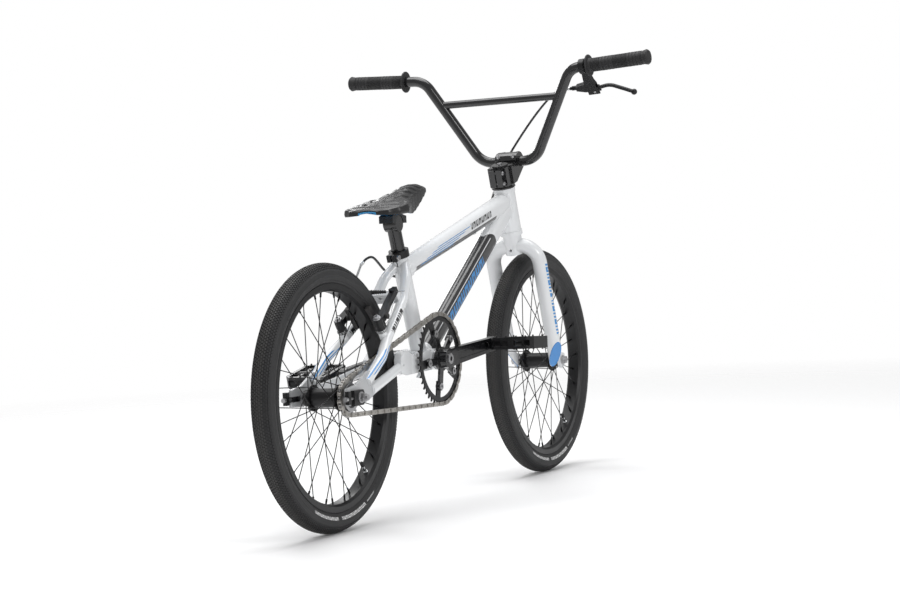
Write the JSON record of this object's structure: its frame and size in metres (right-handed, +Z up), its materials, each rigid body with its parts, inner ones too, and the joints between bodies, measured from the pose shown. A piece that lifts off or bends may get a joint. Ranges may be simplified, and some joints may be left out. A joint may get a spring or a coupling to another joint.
{
  "type": "bmx race bicycle",
  "caption": "Small-wheeled BMX race bicycle with a tall crossbar handlebar, knobbly tyres, a single-speed chain drive and one rear rim brake.",
  "frame": {"origin": "on the ground, midway between the two wheel axles, in the middle plane", "axes": "+X forward, +Y to the rider's left, +Z up"},
  "size_m": [1.447, 0.7144, 0.9028],
  "materials": {
    "frame_white": "gloss white paint with blue and black graphics",
    "fork_white": "gloss white paint with blue graphics",
    "black_paint": "gloss black paint",
    "black_anodised": "polished black anodised",
    "silver_metal": "machined and polished silver",
    "zinc_steel": "zinc plated fasteners",
    "chain_steel": "nickel plated, lightly oiled",
    "tyre_rubber": "black rubber with small block tread",
    "grip_rubber": "ribbed black rubber",
    "pad_rubber": "moulded brake rubber with a red edge",
    "cable_black": "smooth black housing",
    "bellows_rubber": "soft ribbed sleeve",
    "saddle_plastic": "moulded black shell with a fine pattern",
    "cap_blue": "anodised blue",
    "spoke_black": "black wire spokes",
    "brass_bolt": "gold tinted fastener",
    "bearing_steel": "ground bearing steel"
  },
  "bodies": {
    "frame": {"head_tube": "frame_white", "top_tube": "frame_white", "down_tube": "frame_white", "seat_tube": "frame_white", "bottom_bracket_shell": "frame_white", "bottom_bracket_cups": "bearing_steel", "chain_stay_yoke": "frame_white", "chain_stays": "frame_white", "seat_stays": "frame_white", "dropouts": "silver_metal", "brake_bridge": "frame_white", "headset_bearings": "bearing_steel", "seat_clamp_collar": "black_anodised", "frame_bolts": "zinc_steel", "rear_axle": "zinc_steel", "chain_tensioners": "black_anodised", "chain_inner_links": "chain_steel", "chain_outer_links": "chain_steel", "brake_inner_wire": "silver_metal", "brake_housing_rear": "cable_black", "brake_housing_front": "cable_black", "brake_cable_boot": "bellows_rubber"},
    "front_end": {"fork_steerer": "fork_white", "fork_legs": "fork_white", "fork_leg_caps": "cap_blue", "fork_fittings": "fork_white", "stem_body": "black_paint", "stem_caps": "black_paint", "stem_bolts": "zinc_steel", "handlebar": "black_paint", "handlebar_crossbar": "black_paint", "grips": "grip_rubber", "brake_lever_bracket": "black_anodised", "front_axle": "zinc_steel"},
    "front_wheel": {"front_tyre": "tyre_rubber", "front_rim": "black_anodised", "front_spokes": "spoke_black", "front_hub": "black_anodised"},
    "rear_wheel": {"rear_tyre": "tyre_rubber", "rear_rim": "black_anodised", "rear_spokes": "spoke_black", "rear_hub": "black_anodised"},
    "crankset": {"crank_arm_left": "black_anodised", "crank_arm_right": "black_anodised", "crank_spindle": "bearing_steel", "crank_bolts": "zinc_steel", "chainring": "black_anodised", "pedal_axles": "bearing_steel"},
    "freewheel": {"freewheel_cog": "zinc_steel"},
    "pedal_right": {"pedal_body_right": "black_anodised"},
    "pedal_left": {"pedal_body_left": "black_anodised"},
    "brake_lever": {"brake_lever_blade": "black_anodised"},
    "brake_left": {"brake_arm_left": "black_anodised", "brake_pad_left": "pad_rubber", "brake_noodle": "silver_metal"},
    "brake_right": {"brake_arm_right": "black_anodised", "brake_pad_right": "pad_rubber"},
    "seat_post": {"seat_post": "black_paint"},
    "saddle": {"saddle_pad": "saddle_plastic", "saddle_base": "saddle_plastic"}
  },
  "joints": [
    {"name": "steering", "type": "hinge", "parent": "frame", "child": "front_end", "pos_m": [0.44666, 0, 0.23973], "axis": [-0.2756, 0, 0.9613], "range_deg": [-75, 75], "deforming": ["brake_housing_front"]},
    {"name": "front_wheel_spin", "type": "hinge", "parent": "front_end", "child": "front_wheel", "pos_m": [0.4755, 0, 0.248], "axis": [0, 1, 0], "continuous": true},
    {"name": "rear_wheel_spin", "type": "hinge", "parent": "frame", "child": "rear_wheel", "pos_m": [-0.4755, 0, 0.248], "axis": [0, 1, 0], "continuous": true},
    {"name": "crank_spin", "type": "hinge", "parent": "frame", "child": "crankset", "pos_m": [-0.1014, 0, 0.2917], "axis": [0, 1, 0], "continuous": true, "deforming": ["chain_inner_links", "chain_outer_links"]},
    {"name": "freewheel_spin", "type": "hinge", "parent": "frame", "child": "freewheel", "pos_m": [-0.4755, 0, 0.248], "axis": [0, 1, 0], "continuous": true, "deforming": ["chain_inner_links", "chain_outer_links"]},
    {"name": "pedal_right_spin", "type": "hinge", "parent": "crankset", "child": "pedal_right", "pos_m": [0.07264, -0.139, 0.30999], "axis": [0, 1, 0], "continuous": true},
    {"name": "pedal_left_spin", "type": "hinge", "parent": "crankset", "child": "pedal_left", "pos_m": [-0.27544, 0.139, 0.27341], "axis": [0, 1, 0], "continuous": true},
    {"name": "lever_pull", "type": "hinge", "parent": "front_end", "child": "brake_lever", "pos_m": [0.3649, -0.21395, 0.82925], "axis": [-0.7525, -0.0227, -0.6582], "range_deg": [0, 22], "stiffness_Nm_per_rad": 1.5, "springref_deg": -2.86, "deforming": ["brake_cable_boot", "brake_inner_wire", "brake_housing_rear", "brake_housing_front"]},
    {"name": "brake_left_swing", "type": "hinge", "parent": "frame", "child": "brake_left", "pos_m": [-0.32471, 0.042, 0.3463], "axis": [0.5461, 0, -0.8377], "range_deg": [0, 2.5], "deforming": ["brake_cable_boot", "brake_inner_wire", "brake_housing_rear"]},
    {"name": "brake_right_swing", "type": "hinge", "parent": "frame", "child": "brake_right", "pos_m": [-0.32471, -0.042, 0.3463], "axis": [-0.5461, 0, 0.8377], "range_deg": [0, 2.5], "deforming": ["brake_cable_boot", "brake_inner_wire"]},
    {"name": "seat_post_height", "type": "slide", "parent": "frame", "child": "seat_post", "axis": [-0.3007, 0, 0.9537], "range_m": [-0.03, 0.045]},
    {"name": "saddle_tilt", "type": "hinge", "parent": "seat_post", "child": "saddle", "pos_m": [-0.1868, 0, 0.56256], "axis": [0, 1, 0], "range_deg": [-8, 8]}
  ],
  "couplings": [
    {"joint": "freewheel_spin", "follows": "crank_spin", "ratio": 2.75},
    {"joint": "brake_left_swing", "follows": "lever_pull", "ratio": 0.11364},
    {"joint": "brake_right_swing", "follows": "lever_pull", "ratio": 0.11364}
  ]
}
